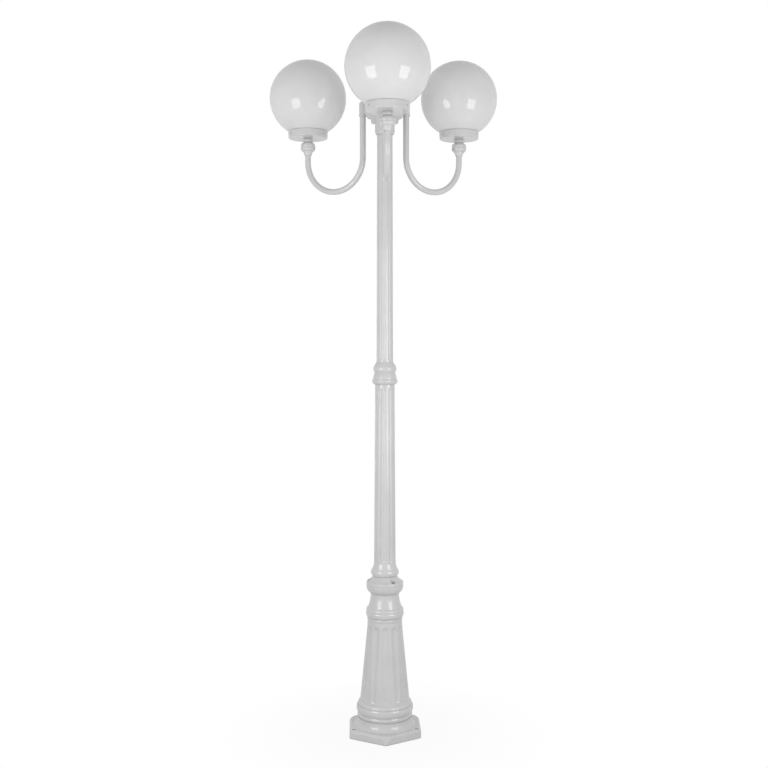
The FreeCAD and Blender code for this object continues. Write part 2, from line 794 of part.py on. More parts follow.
def build_arm_hub():
    """Socket and wiring chamber with three stepped brackets, each with an upright boss."""
    body = new_body("arm_hub")
    socket_radius = size.upper_top_radius + size.fit_gap + (
        size.upper_foot_radius - size.upper_top_radius) * size.socket_depth / size.upper_shaft_rise
    turn(body, [
        (0, hub_foot),
        (size.hub_lip_radius, hub_foot),
        (size.hub_radius, hub_foot + size.hub_lip_rise),
        (size.hub_radius, hub_top),
        (0, hub_top),
    ])
    first = hub_foot + size.bracket_first_rise
    second = hub_foot + size.bracket_second_rise
    bracket = pad(body, "XZ_Plane", None, size.bracket_width, both_ways=True, corners=[
        (0, first),
        (size.bracket_first_reach, first),
        (size.bracket_first_reach + size.bracket_step_slope, second),
        (size.bracket_second_reach, second),
        (size.boss_reach - size.arm_radius, boss_foot + size.boss_ring_rise * 1.5),
        (size.boss_reach, boss_foot + size.boss_ring_rise * 1.5),
        (size.boss_reach, bracket_top),
        (0, bracket_top),
    ])
    boss_axis = ((size.boss_reach, boss_foot), (size.boss_reach, boss_top))
    boss = turn(body, [
        (size.boss_reach, boss_foot),
        (size.boss_reach + size.boss_radius, boss_foot, size.boss_ring_radius - size.boss_radius),
        (size.boss_reach + size.boss_radius, boss_foot + size.boss_ring_rise),
        (size.boss_reach + size.boss_radius, bracket_top, size.boss_crown / 2),
        (size.boss_reach, boss_top),
    ], axis=boss_axis)
    repeat(body, [bracket, boss], HEAD_COUNT)
    turn(body, [
        (0, hub_foot),
        (socket_radius, hub_foot),
        (socket_radius, upper_shaft_top),
        (size.hub_cable_radius, upper_shaft_top),
        (size.hub_cable_radius, chamber_floor),
        (size.hub_chamber_radius, chamber_floor),
        (size.hub_chamber_radius, hub_top),
        (0, hub_top),
    ], "PartDesign::Groove")
    arm_hole = cut(body, "XY_Plane", boss_foot, size.boss_drop, backwards=True,
                   circles=[((size.boss_reach, 0), size.arm_radius + size.fit_gap)])
    turn_up = cut(body, "XY_Plane", arm_top, size.boss_turn_radius * 2, backwards=True,
                  circles=[((size.boss_reach, 0), size.boss_turn_radius)])
    cable_way = cut(body, "YZ_Plane", None, size.boss_reach, backwards=True, circles=[
        ((0, arm_top + size.boss_turn_radius), size.boss_cable_radius)])
    grub_hole = cut(body, "XZ_Plane", None, size.boss_ring_radius, backwards=True, circles=[
        ((size.boss_reach, grub_height), size.grub_radius + size.thread_gap)])
    repeat(body, [arm_hole, turn_up, cable_way, grub_hole], HEAD_COUNT)
    turn_round_post(body, HEADS["front"])


def build_hub_lid():
    """Domed lid over the chamber, with a stud in its middle and a domed nut that sits on it."""
    lid = new_body("hub_cap")
    edge_top = hub_top + size.lid_edge
    crown = edge_top + size.lid_dome
    spigot = size.hub_chamber_radius - size.fit_gap
    stud_hole = size.lid_stud_radius + size.thread_gap
    turn(lid, [
        (stud_hole, hub_top),
        (spigot - size.lid_wall, hub_top),
        (spigot - size.lid_wall, hub_top - size.lid_spigot),
        (spigot, hub_top - size.lid_spigot),
        (spigot, hub_top),
        (size.lid_radius, hub_top, size.lid_edge / 4),
        (size.lid_radius, edge_top, size.lid_dome / 4),
        (size.lid_crown_radius, crown),
        (stud_hole, crown),
    ])
    nut = new_body("hub_cap_nut")
    turn(nut, [
        (0, hub_top - size.lid_spigot),
        (size.lid_stud_radius, hub_top - size.lid_spigot),
        (size.lid_stud_radius, crown),
        (size.lid_nut_radius, crown),
        (size.lid_nut_radius, crown + size.lid_nut_side, size.lid_nut_radius * QUARTER_ARC),
        (0, crown + size.lid_nut_side + size.lid_nut_radius),
    ])


def build_arm(name, angle):
    """One bent tube: down from its boss, round the bend and up into its knob."""
    body = new_body("arm_%s" % name)
    bend_radius = (size.head_reach - size.boss_reach) / 2
    start = (size.boss_reach, arm_top)
    bend_start = (size.boss_reach, arm_bend)
    bend_end = (size.head_reach, arm_bend)
    end = (size.head_reach, arm_end)
    route = new_sketch(body, "XZ_Plane")
    down = route.addGeometry(Part.LineSegment(vector(start), vector(bend_start)), False)
    middle = (size.boss_reach + bend_radius, arm_bend - bend_radius)
    bend = route.addGeometry(Part.Arc(vector(bend_start), vector(middle), vector(bend_end)), False)
    guide = route.addGeometry(Part.Point(vector(middle)), True)
    rise = route.addGeometry(Part.LineSegment(vector(bend_end), vector(end)), False)
    for item, pos, point in ((down, 1, start), (down, 2, bend_start), (guide, 1, middle),
                             (rise, 1, bend_end), (rise, 2, end)):
        tie_point(route, item, pos, point)
    route.addConstraint(Sketcher.Constraint("Coincident", down, 2, bend, end_at(route, bend, bend_start)))
    route.addConstraint(Sketcher.Constraint("Coincident", rise, 1, bend, end_at(route, bend, bend_end)))
    route.addConstraint(Sketcher.Constraint("PointOnObject", guide, 1, bend))
    section = new_sketch(body, "XY_Plane", arm_top)
    draw_circle(section, (size.boss_reach, 0), size.arm_radius)
    draw_circle(section, (size.boss_reach, 0), size.arm_radius - size.arm_wall)
    tube = body.newObject("PartDesign::AdditivePipe", "%s_tube" % body.Name)
    tube.Profile = section
    tube.Spine = (route, ["Edge1", "Edge2", "Edge3"])
    body.Tip = tube
    turn_round_post(body, angle)


def build_arm_set_screws():
    """A grub screw in the side of each boss, its tip close to the arm and its socket flush."""
    body = new_body("arm_set_screws")
    tip = size.arm_radius + size.thread_gap
    centre = (size.boss_reach, grub_height)
    screw = pad(body, "XZ_Plane", tip, size.boss_radius - tip, circles=[(centre, size.grub_radius)])
    repeat(body, [screw], HEAD_COUNT)
    turn_round_post(body, HEADS["front"])


def build_knob_set_screws():
    """A grub screw in each knob, on the side towards the post, with its socket end out."""
    body = new_body("knob_set_screws")
    tip = size.head_reach - size.arm_radius - size.thread_gap
    end = size.head_reach - size.knob_groove_radius
    centre = (0, knob_foot + size.knob_grub_rise)
    screw = pad(body, "YZ_Plane", end, tip - end, circles=[(centre, size.grub_radius)])
    key = [(corner[0], corner[1] + centre[1]) for corner in hexagon(size.grub_key)]
    socket = cut(body, "YZ_Plane", end, size.grub_key_depth, corners=key, backwards=True)
    repeat(body, [screw, socket], HEAD_COUNT)
    turn_round_post(body, HEADS["front"])


# ---------------------------------------------------------------- heads

def build_knob(name, angle):
    """Ball with a groove round its middle, over a small cone, bored for the arm and the nipple."""
    body = new_body("knob_%s" % name)
    arm_hole = size.arm_radius + size.fit_gap
    turn(body, [
        (arm_hole, knob_foot),
        (size.knob_cone_foot_radius, knob_foot),
        (size.knob_cone_top_radius, knob_cone_top),
        (size.knob_bead_foot_radius, knob_cone_top, size.knob_bead_swell),
        (size.knob_groove_radius, knob_groove, size.knob_crown_swell),
        (size.knob_crown_radius, knob_top),
        (nipple_hole, knob_top),
        (nipple_hole, arm_end),
        (arm_hole, arm_end),
    ])
    cut(body, "YZ_Plane", None, size.knob_groove_radius + size.knob_bead_swell, circles=[
        ((0, knob_foot + size.knob_grub_rise), size.grub_radius + size.thread_gap)])
    place_on_head(body, angle, angle)


def build_knob_washers():
    """A thin disc on top of each knob."""
    body = new_body("knob_washers")
    washer = pad(body, "XY_Plane", knob_top, size.knob_washer_thickness, circles=[
        ((size.head_reach, 0), size.knob_washer_radius), ((size.head_reach, 0), nipple_hole)])
    repeat(body, [washer], HEAD_COUNT)
    turn_round_post(body, HEADS["front"])


def build_nipple(name, angle):
    """Hollow threaded nipple from inside the arm up into the lampholder."""
    body = new_body("nipple_%s" % name)
    pad(body, "XY_Plane", arm_end - size.nipple_tail, size.nipple_tail + size.nipple_rise,
        circles=[((0, 0), size.nipple_radius), ((0, 0), size.nipple_bore_radius)])
    place_on_head(body, angle, angle)


def build_nipple_nuts():
    """The hexagon nut on each nipple, down on the fitter's floor."""
    body = new_body("nipple_nuts")
    nut = pad(body, "XY_Plane", fitter_floor, size.nut_height,
              corners=shifted(hexagon(size.nut_flats), size.head_reach),
              circles=[((size.head_reach, 0), nipple_hole)])
    repeat(body, [nut], HEAD_COUNT)
    turn_round_post(body, HEADS["front"])


def build_fitter(name, angle):
    """Shallow round dish with a small rounded neck under it and three screw holes in its rim."""
    body = new_body("fitter_%s" % name)
    turn(body, [
        (nipple_hole, fitter_foot),
        (size.fitter_neck_foot_radius, fitter_foot, size.fitter_neck_swell),
        (size.fitter_neck_radius, fitter_underside),
        (size.fitter_floor_radius, fitter_underside, size.fitter_corner_swell),
        (size.fitter_corner_radius, fitter_underside + size.fitter_corner_rise),
        (size.fitter_rim_radius, fitter_rim),
        (size.fitter_rim_radius - size.fitter_wall, fitter_rim),
        (fitter_inner_corner, fitter_floor),
        (nipple_hole, fitter_floor),
    ])
    reach = size.fitter_rim_radius
    hole = cut(body, "YZ_Plane", reach, reach - globe_neck_radius, circles=[
        ((0, globe_screw_height), size.globe_screw_radius + size.fit_gap)])
    repeat(body, [hole], len(GLOBE_SCREW_ANGLES))
    place_on_head(body, angle, angle + GLOBE_SCREW_ANGLES[1])


def build_globe_screw(name, angle, number):
    """One slotted screw through the fitter's rim, its tip close to the globe's neck."""
    body = new_body("globe_screw_%s_%d" % (name, number))
    tip = globe_neck_radius + size.fit_gap
    end = size.fitter_rim_radius
    pad(body, "YZ_Plane", tip, end - tip, circles=[((0, globe_screw_height), size.globe_screw_radius)])
    half = size.globe_screw_slot / 2
    wide = size.globe_screw_radius + size.fit_gap
    cut(body, "YZ_Plane", end, size.globe_screw_slot_depth, corners=[
        (-half, globe_screw_height - wide), (half, globe_screw_height - wide),
        (half, globe_screw_height + wide), (-half, globe_screw_height + wide)])
    place_on_head(body, angle, angle + GLOBE_SCREW_ANGLES[number])


def build_globe_gasket(name, angle):
    """Flat rubber ring on the fitter's floor, under the globe's neck."""
    body = new_body("globe_gasket_%s" % name)
    outer = fitter_inner_corner - size.gasket_play
    pad(body, "XY_Plane", fitter_floor, size.gasket_thickness, circles=[
        ((0, 0), outer), ((0, 0), outer - size.gasket_width)])
    place_on_head(body, angle, angle)


def build_globe(name, angle):
    """Blown opal globe with a short plain neck, open below, that just clears the fitter's rim."""
    body = new_body("globe_%s" % name)
    inner_radius = size.globe_radius - size.globe_wall
    inner_neck = globe_neck_radius - size.globe_wall
    outer_drop = root(size.globe_radius * size.globe_radius - globe_neck_radius * globe_neck_radius)
    inner_drop = root(inner_radius * inner_radius - inner_neck * inner_neck)
    outer_join = (globe_neck_radius, globe_middle - outer_drop)
    outer_top = (as_size(0), globe_middle + size.globe_radius)
    inner_top = (as_size(0), globe_middle + inner_radius)
    inner_join = (inner_neck, globe_middle - inner_drop)
    turn(body, [
        (inner_neck, globe_foot),
        (globe_neck_radius, globe_foot),
        outer_join + (bow(outer_join, outer_top, size.globe_radius),),
        outer_top,
        inner_top + (-bow(inner_top, inner_join, inner_radius),),
        inner_join,
    ])
    place_on_head(body, angle, angle)


def bow(start, end, radius):
    """How far an arc of a radius, under half a turn, swells from the chord between its ends."""
    chord = length_of(end[0] - start[0], end[1] - start[1])
    return radius - root(radius * radius - chord * chord / 4)


def build_lampholder(name, angle):
    """Screw lampholder on the nipple, with its cavity up."""
    body = new_body("lampholder_%s" % name)
    foot_top = nut_top + size.holder_foot_rise
    nipple_top = arm_end + size.nipple_rise + size.fit_gap
    turn(body, [
        (nipple_hole, nut_top),
        (size.holder_foot_radius, nut_top),
        (size.holder_foot_radius, foot_top),
        (size.holder_radius, foot_top),
        (size.holder_radius, holder_top),
        (size.holder_cavity_radius, holder_top),
        (size.holder_cavity_radius, holder_cavity_floor),
        (0, holder_cavity_floor),
        (0, nipple_top),
        (nipple_hole, nipple_top),
    ])
    place_on_head(body, angle, angle)


def build_bulb(name, angle):
    """Pear-shaped bulb with its screw cap down in the lampholder."""
    body = new_body("bulb_%s" % name)
    foot = holder_cavity_floor + size.fit_gap
    cap_top = foot + size.bulb_cap_rise
    middle = cap_top + size.bulb_neck_rise
    turn(body, [
        (0, foot),
        (size.bulb_cap_radius, foot),
        (size.bulb_cap_radius, cap_top, -size.bulb_neck_swell),
        (size.bulb_radius, middle, size.bulb_radius * QUARTER_ARC),
        (0, middle + size.bulb_radius),
    ])
    place_on_head(body, angle, angle)


# ---------------------------------------------------------------- connection in the pedestal

def build_terminal():
    """Strip across the ledge in the pedestal, its terminal block, its screws and the earth screw."""
    plate_top = size.ledge_height
    plate_foot = plate_top - size.terminal_plate_thickness
    half_long = size.ledge_outer_radius - size.terminal_plate_inset
    half_wide = size.terminal_plate_width / 2
    inner = root(half_long * half_long - half_wide * half_wide)
    plate = new_body("terminal_plate")
    pad(plate, "XY_Plane", plate_foot, size.terminal_plate_thickness, corners=[
        (-inner, -half_wide), (inner, -half_wide), (inner, half_wide), (-inner, half_wide)])
    hole = size.terminal_screw_radius + size.thread_gap
    cut(plate, "XY_Plane", plate_top, size.terminal_plate_thickness, circles=[
        ((-size.terminal_screw_reach, 0), hole), ((size.terminal_screw_reach, 0), hole)])

    block = new_body("terminal_block")
    block_foot = plate_foot - size.block_height
    long = size.block_length / 2
    wide = size.block_width / 2
    pad(block, "XY_Plane", block_foot, size.block_height, corners=[
        (-long, -wide), (long, -wide), (long, wide), (-long, wide)])
    ways = [((size.block_pitch * (number - (BLOCK_WAYS - 1) / 2), block_foot + size.block_height / 2),
             size.block_way / 2) for number in range(BLOCK_WAYS)]
    cut(block, "XZ_Plane", None, size.block_width, circles=ways, both_ways=True)

    screws = new_body("terminal_screws")
    axis_foot = plate_foot - size.terminal_head_height
    tip = plate_foot + size.terminal_screw_length
    reach = size.terminal_screw_reach
    screw = turn(screws, [
        (reach, axis_foot),
        (reach + size.terminal_head_radius, axis_foot, size.terminal_head_height / 4),
        (reach + size.terminal_head_radius, plate_foot),
        (reach + size.terminal_screw_radius, plate_foot),
        (reach + size.terminal_screw_radius, tip),
        (reach, tip),
    ], axis=((reach, axis_foot), (reach, tip)))
    repeat(screws, [screw], 2)

    earth = new_body("earth_screw")
    washer_foot = plate_top - size.earth_washer_thickness
    head_foot = washer_foot - size.terminal_head_height
    earth_tip = plate_top + size.earth_screw_length - size.fit_gap
    turn(earth, [
        (0, head_foot),
        (size.terminal_head_radius, head_foot, size.terminal_head_height / 4),
        (size.terminal_head_radius, washer_foot),
        (size.earth_washer_radius, washer_foot),
        (size.earth_washer_radius, plate_top),
        (size.terminal_screw_radius, plate_top),
        (size.terminal_screw_radius, earth_tip),
        (0, earth_tip),
    ])
    earth.Placement = FreeCAD.Placement(FreeCAD.Vector(0, reach.value, 0), FreeCAD.Rotation())
    earth.setExpression("Placement.Base.y", reach.text)


def build_all():
    """Every sub-part, from the foot up and then head by head."""
    build_pedestal()
    build_lower_column()
    build_flange_screws()
    build_joint_collar()
    build_upper_column()
    build_arm_hub()
    build_hub_lid()
    build_arm_set_screws()
    build_knob_set_screws()
    build_knob_washers()
    build_nipple_nuts()
    for name, angle in HEADS.items():
        build_arm(name, angle)
        build_knob(name, angle)
        build_nipple(name, angle)
        build_fitter(name, angle)
        build_globe_gasket(name, angle)
        build_lampholder(name, angle)
        build_bulb(name, angle)
        build_globe(name, angle)
        for number in GLOBE_SCREW_ANGLES:
            build_globe_screw(name, angle, number)
    build_terminal()


def check_and_write():
    """Stop on anything that failed, then write each sub-part's shape to its own file."""
    doc.recompute()
    for item in doc.Objects:
        if any(word in item.State for word in ("Invalid", "Error")):
            raise RuntimeError("%s failed: %s" % (item.Label, item.State))
    os.makedirs("parts", exist_ok=True)
    for body in SUBPARTS:
        shape = body.Shape
        if shape.isNull() or not shape.isValid() or not shape.Solids:
            raise RuntimeError("%s has no valid solid" % body.Label)
    for body in SUBPARTS:
        body.Shape.exportStep("parts/%s.step" % body.Label)
        print(body.Label, len(body.Shape.Solids), "solids", round(body.Shape.Volume / 1000, 2), "cm3")


build_all()
check_and_write()
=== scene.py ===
# %% [markdown]
# # A garden lamp post with three opal heads
# The post is cast aluminium, painted white. Three bent tubes carry opal globes.
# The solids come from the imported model, so this lesson only dresses them: it sets the camera and the lamps,
# gives every piece its finish, and puts a detailed bulb in the place of each plain one.

# %% Load the frame
import json
import math

import bmesh
import bpy
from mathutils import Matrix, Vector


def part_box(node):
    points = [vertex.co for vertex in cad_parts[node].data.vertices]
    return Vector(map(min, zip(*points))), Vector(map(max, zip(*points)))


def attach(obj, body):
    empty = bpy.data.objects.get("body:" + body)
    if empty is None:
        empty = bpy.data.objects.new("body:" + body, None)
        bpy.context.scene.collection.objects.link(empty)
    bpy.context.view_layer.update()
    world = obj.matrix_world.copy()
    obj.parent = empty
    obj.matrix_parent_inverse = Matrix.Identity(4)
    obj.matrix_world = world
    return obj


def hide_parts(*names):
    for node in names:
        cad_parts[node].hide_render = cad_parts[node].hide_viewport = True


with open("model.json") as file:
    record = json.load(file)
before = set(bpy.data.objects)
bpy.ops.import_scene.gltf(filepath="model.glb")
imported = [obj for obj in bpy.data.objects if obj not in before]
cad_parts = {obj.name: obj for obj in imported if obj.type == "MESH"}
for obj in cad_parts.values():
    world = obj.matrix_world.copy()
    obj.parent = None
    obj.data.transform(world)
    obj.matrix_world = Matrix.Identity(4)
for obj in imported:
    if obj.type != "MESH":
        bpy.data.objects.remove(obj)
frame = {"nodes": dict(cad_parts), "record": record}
NODES = frame["nodes"]
BODIES = frame["record"]["behaviour"]["bodies"]
BODY_OF = {node: body for body, members in BODIES.items() for node in members}
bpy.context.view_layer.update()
MM = 0.001
HEADS = ("left", "right", "front")

# %% [markdown]
# ## Camera
# The photograph was taken from straight ahead at about chest height, with the camera held level and its
# frame shifted down a little. The same lens, distance and shift are used here, so that the two can be laid
# over each other. A level camera keeps the post's sides upright.

# %% Place the camera
CAMERA_DISTANCE = 3.334
CAMERA_HEIGHT = 1.231
CAMERA_TURN = math.radians(-1.6)
FOCAL_LENGTH = 50
SENSOR_WIDTH = 36
IMAGE_PIXELS = 768
HORIZON_ABOVE_CENTRE = 47
POST_RIGHT_OF_CENTRE = 0.85

lens = bpy.data.cameras.new("camera")
lens.lens = FOCAL_LENGTH
lens.sensor_width = SENSOR_WIDTH
lens.shift_x = -POST_RIGHT_OF_CENTRE / IMAGE_PIXELS
lens.shift_y = -HORIZON_ABOVE_CENTRE / IMAGE_PIXELS
camera = bpy.data.objects.new("camera", lens)
camera.location = (CAMERA_DISTANCE * math.sin(CAMERA_TURN), -CAMERA_DISTANCE * math.cos(CAMERA_TURN),
                   CAMERA_HEIGHT)
camera.rotation_euler = (math.pi / 2, 0, CAMERA_TURN)
bpy.context.scene.collection.objects.link(camera)
bpy.context.scene.camera = camera
bpy.context.scene.view_settings.view_transform = "Standard"
print("camera at", tuple(round(value, 3) for value in camera.location))

# %% [markdown]
# ## Helpers
# Blender mixes light in linear values, while a listed colour is an sRGB code. One function turns
# one into the other. A second one adds a node to a material, sets its values and joins its inputs. The others
# are built on it: an empty material, a noise, a stretch of its values, a blend of two colours and relief.

# %% Colours and nodes


def linear(code):
    """An sRGB hex colour such as "E6E7E8" as linear red, green, blue and alpha."""
    parts = [int(code[place:place + 2], 16) / 255 for place in (0, 2, 4)]
    return tuple(part / 12.92 if part <= 0.04045 else ((part + 0.055) / 1.055) ** 2.4
                 for part in parts) + (1,)


def add_node(tree, kind, settings=None, values=None, links=None):
    """Add a node: settings are its properties, values its input values, links its inputs' sources."""
    node = tree.nodes.new(kind)
    for name, setting in (settings or {}).items():
        setattr(node, name, setting)
    for name, value in (values or {}).items():
        node.inputs[name].default_value = value
    for name, source in (links or {}).items():
        tree.links.new(source, node.inputs[name])
    return node


def new_material(name):
    """An empty node material, its tree, its shader and its object coordinates."""
    material = bpy.data.materials.new(name)
    material.use_nodes = True
    tree = material.node_tree
    tree.nodes.clear()
    shader = add_node(tree, "ShaderNodeBsdfPrincipled")
    add_node(tree, "ShaderNodeOutputMaterial", links={"Surface": shader.outputs["BSDF"]})
    place = add_node(tree, "ShaderNodeTexCoord").outputs["Object"]
    return material, tree, shader, place


def noise(tree, place, grain_mm, detail):
    """A soft noise whose blobs are about so many millimetres across."""
    node = add_node(tree, "ShaderNodeTexNoise",
                    values={"Scale": 1 / (grain_mm * MM), "Detail": detail, "Roughness": 0.5},
                    links={"Vector": place})
    return node.outputs["Fac"]


def spread(tree, source, low, high, start=0.3, end=0.7):
    """Stretch a pattern's values between start and end to run from low to high."""
    node = add_node(tree, "ShaderNodeMapRange",
                    values={"From Min": start, "From Max": end, "To Min": low, "To Max": high},
                    links={"Value": source})
    return node.outputs["Result"]


def shade(tree, factor, first, second):
    """Blend two colours by a pattern."""
    node = add_node(tree, "ShaderNodeMix", {"data_type": "RGBA"}, links={"Factor": factor})
    node.inputs[6].default_value = linear(first)
    node.inputs[7].default_value = linear(second)
    return node.outputs[2]


def bump(tree, height, depth_mm, under=None):
    """Turn a pattern into relief of so many millimetres, over other relief if some is given."""
    node = add_node(tree, "ShaderNodeBump", values={"Strength": 1.0, "Distance": depth_mm * MM},
                    links={"Height": height})
    if under:
        tree.links.new(under, node.inputs["Normal"])
    return node.outputs["Normal"]


print("helpers ready")

# %% [markdown]
# ## Studio
# Two upright softboxes stand at chest height to the left and the right of the camera's line. They are the
# two bright windows on each globe and on each bead. Two weaker ones behind give the back its shape, and are
# hidden from mirrored rays, so that they draw no bright rim round the globes. A large pale surround gives
# most of the light. It is brighter below than above, as in a white cove, so the globes are lighter underneath.
#
# The camera sees the cove as plain white, and so do rays through glass. A mirrored ray sees a share of that
# white, because a glossy paint or a metal screw reflects the backdrop beside it too. The floor is solid from
# above and clear from below, so that the foot can be looked into from underneath.

# %% Who sees the backdrop
MIRRORED_SHARE = 0.3


def where_backdrop_shows(tree):
    """1 for the camera's rays and those through glass, and a smaller share for mirrored ones."""
    rays = add_node(tree, "ShaderNodeLightPath").outputs
    mirrored = add_node(tree, "ShaderNodeMath", {"operation": "MULTIPLY"}, {1: MIRRORED_SHARE},
                        {0: rays["Is Glossy Ray"]})
    direct = add_node(tree, "ShaderNodeMath", {"operation": "MAXIMUM"},
                      links={0: rays["Is Camera Ray"], 1: rays["Is Transmission Ray"]})
    either = add_node(tree, "ShaderNodeMath", {"operation": "MAXIMUM"},
                      links={0: direct.outputs[0], 1: mirrored.outputs[0]})
    return either.outputs[0]


print("mirrored rays see", MIRRORED_SHARE, "of the backdrop")

# %% Surround
SURROUND_TOP = "ACACAC"
SURROUND_LOW = "C8C8C8"
BACKGROUND = "FFFFFF"
LOW_UP_TO = -0.25
TOP_FROM = 0.8
LEVEL_IN_FRONT = 1.28
LEVEL_BEHIND = 1.25
FRONT_FROM = -1.0
BEHIND_FROM = 0.6

world = bpy.data.worlds.new("white_cove")
world.use_nodes = True
bpy.context.scene.world = world
tree = world.node_tree
tree.nodes.clear()
way = add_node(tree, "ShaderNodeTexCoord").outputs["Generated"]
ways = add_node(tree, "ShaderNodeSeparateXYZ", links={"Vector": way}).outputs
upness = spread(tree, ways["Z"], 0.0, 1.0, LOW_UP_TO, TOP_FROM)
level = spread(tree, ways["Y"], LEVEL_IN_FRONT, LEVEL_BEHIND, FRONT_FROM, BEHIND_FROM)
surround = shade(tree, upness, SURROUND_LOW, SURROUND_TOP)
lit = add_node(tree, "ShaderNodeBackground", links={"Color": surround, "Strength": level})
seen = add_node(tree, "ShaderNodeBackground", values={"Color": linear(BACKGROUND), "Strength": 1.0})
mixed = add_node(tree, "ShaderNodeMixShader",
                 links={0: where_backdrop_shows(tree), 1: lit.outputs[0], 2: seen.outputs[0]})
add_node(tree, "ShaderNodeOutputWorld", links={"Surface": mixed.outputs[0]})
print("surround", world.name)

# %% Floor
FLOOR_RADIUS = 2.6
FLOOR_SIDES = 96
floor_mesh = bpy.data.meshes.new("floor")
bm = bmesh.new()
bmesh.ops.create_circle(bm, cap_ends=True, radius=FLOOR_RADIUS, segments=FLOOR_SIDES)
bm.to_mesh(floor_mesh)
bm.free()
floor = bpy.data.objects.new("floor", floor_mesh)
bpy.context.scene.collection.objects.link(floor)
print("floor radius", FLOOR_RADIUS)

# %% Floor paint
FLOOR_GREY = "C4C4C4"
FLOOR_LIFT = 0.1
FLOOR_SHADOW_SHARE = 0.08
SHADOW_CORE = 0.1
SHADOW_FADE = 0.55

floor_paint = bpy.data.materials.new("painted_studio_floor")
floor_paint.use_nodes = True
tree = floor_paint.node_tree
tree.nodes.clear()
matt = add_node(tree, "ShaderNodeBsdfDiffuse", values={"Color": linear(FLOOR_GREY)})
lift = add_node(tree, "ShaderNodeEmission", values={"Color": linear(BACKGROUND), "Strength": FLOOR_LIFT})
lifted = add_node(tree, "ShaderNodeAddShader", links={0: matt.outputs[0], 1: lift.outputs[0]})
glow = add_node(tree, "ShaderNodeEmission", values={"Color": linear(BACKGROUND), "Strength": 1.0})
place = add_node(tree, "ShaderNodeTexCoord").outputs["Object"]
away = add_node(tree, "ShaderNodeVectorMath", {"operation": "LENGTH"}, links={0: place}).outputs["Value"]
whiteness = spread(tree, away, 1 - FLOOR_SHADOW_SHARE, 1.0, SHADOW_CORE, SHADOW_FADE)
share = add_node(tree, "ShaderNodeMath", {"operation": "MULTIPLY"},
                 links={0: where_backdrop_shows(tree), 1: whiteness})
mixed = add_node(tree, "ShaderNodeMixShader",
                 links={0: share.outputs[0], 1: lifted.outputs[0], 2: glow.outputs[0]})
under_side = add_node(tree, "ShaderNodeNewGeometry").outputs["Backfacing"]
clear = add_node(tree, "ShaderNodeBsdfTransparent")
one_way = add_node(tree, "ShaderNodeMixShader",
                   links={0: under_side, 1: mixed.outputs[0], 2: clear.outputs[0]})
add_node(tree, "ShaderNodeOutputMaterial", links={"Surface": one_way.outputs[0]})
floor_mesh.materials.append(floor_paint)
print("floor paint", floor_paint.name)

# %% Softboxes
FRONT_BOX = {"height": 1.12, "width": 0.95, "tall": 1.15, "watts": 13, "mirrored": True}
BACK_BOX = {"height": 1.6, "width": 0.8, "tall": 1.2, "watts": 7, "mirrored": False}


def softbox(name, azimuth, distance, height, width, tall, watts, mirrored):
    """An upright soft lamp, placed by its angle from the camera's line and turned to the post."""
    lamp = bpy.data.lights.new(name, "AREA")
    lamp.shape = "RECTANGLE"
    lamp.size = width
    lamp.size_y = tall
    lamp.energy = watts
    stand = bpy.data.objects.new(name, lamp)
    angle = math.radians(azimuth) + CAMERA_TURN
    stand.location = (distance * math.sin(angle), -distance * math.cos(angle), height)
    stand.rotation_euler = (math.pi / 2, 0, angle)
    stand.visible_glossy = mirrored
    bpy.context.scene.collection.objects.link(stand)
    print(name, tuple(round(value, 2) for value in stand.location))


softbox("softbox_left", -42, 2.02, **FRONT_BOX)
softbox("softbox_right", 43, 2.05, **FRONT_BOX)
softbox("softbox_back_left", -138, 2.6, **BACK_BOX)
softbox("softbox_back_right", 142, 2.6, **BACK_BOX)

# %% [markdown]
# ## White paint on cast aluminium
# The pedestal, the shafts, the hub and the knobs are sand castings with baked white powder paint. Such paint
# is smooth and glossy, with a faint orange peel a couple of millimetres across, and the casting under it is
# never quite even. A plain colour would look like plastic, so the paint gets three layers of relief, a slow
# change of gloss and a clear skin. Creases get painted shade: the colour is darkened where surfaces meet in a
# groove. The paint rounds every edge by about a millimetre. The patterns are in object coordinates, so they
# lie still on the metal. Sizes and depths are in millimetres.

# %% Painted shade in creases
CREASE_REACH = 7
CREASE_SAMPLES = 8
DARK_BELOW = 0.2
UNSHADED_ABOVE = 0.8


def paint_shade_in_creases(tree, paint, crease_shade):
    """Darken a paint's colour where surfaces meet in a groove: painted shade in the creases."""
    # painted shade: ambient occlusion over a few millimetres darkens the colour in creases and gaps
    room = add_node(tree, "ShaderNodeAmbientOcclusion", {"samples": CREASE_SAMPLES},
                    {"Distance": CREASE_REACH * MM})
    openness = spread(tree, room.outputs["AO"], 0, 1, DARK_BELOW, UNSHADED_ABOVE)
    mix = add_node(tree, "ShaderNodeMix", {"data_type": "RGBA"}, links={"Factor": openness})
    mix.inputs[6].default_value = linear(crease_shade)
    tree.links.new(paint, mix.inputs[7])
    return mix.outputs[2]


print("creases reach", CREASE_REACH, "mm")

# %% Paint
PAINT_LIGHT = "D1D1D1"
PAINT_DULL = "CBCBCB"
# painted shade: the colours that the paint darkens towards in creases
CAST_CREASE_SHADE = "969696"
SMOOTH_CREASE_SHADE = "BCBCBC"
CLOUD_SIZE = 70
GRIT_SIZE = 1.6
WAVE_DEPTH = 0.03
PEEL_DEPTH = 0.005
GRIT_DEPTH = 0.001
EDGE_ROUND = 1.0
EDGE_SAMPLES = 6
PAINT_IOR = 1.5
CLEAR_SKIN = 0.4
CLEAR_SKIN_ROUGHNESS = 0.14


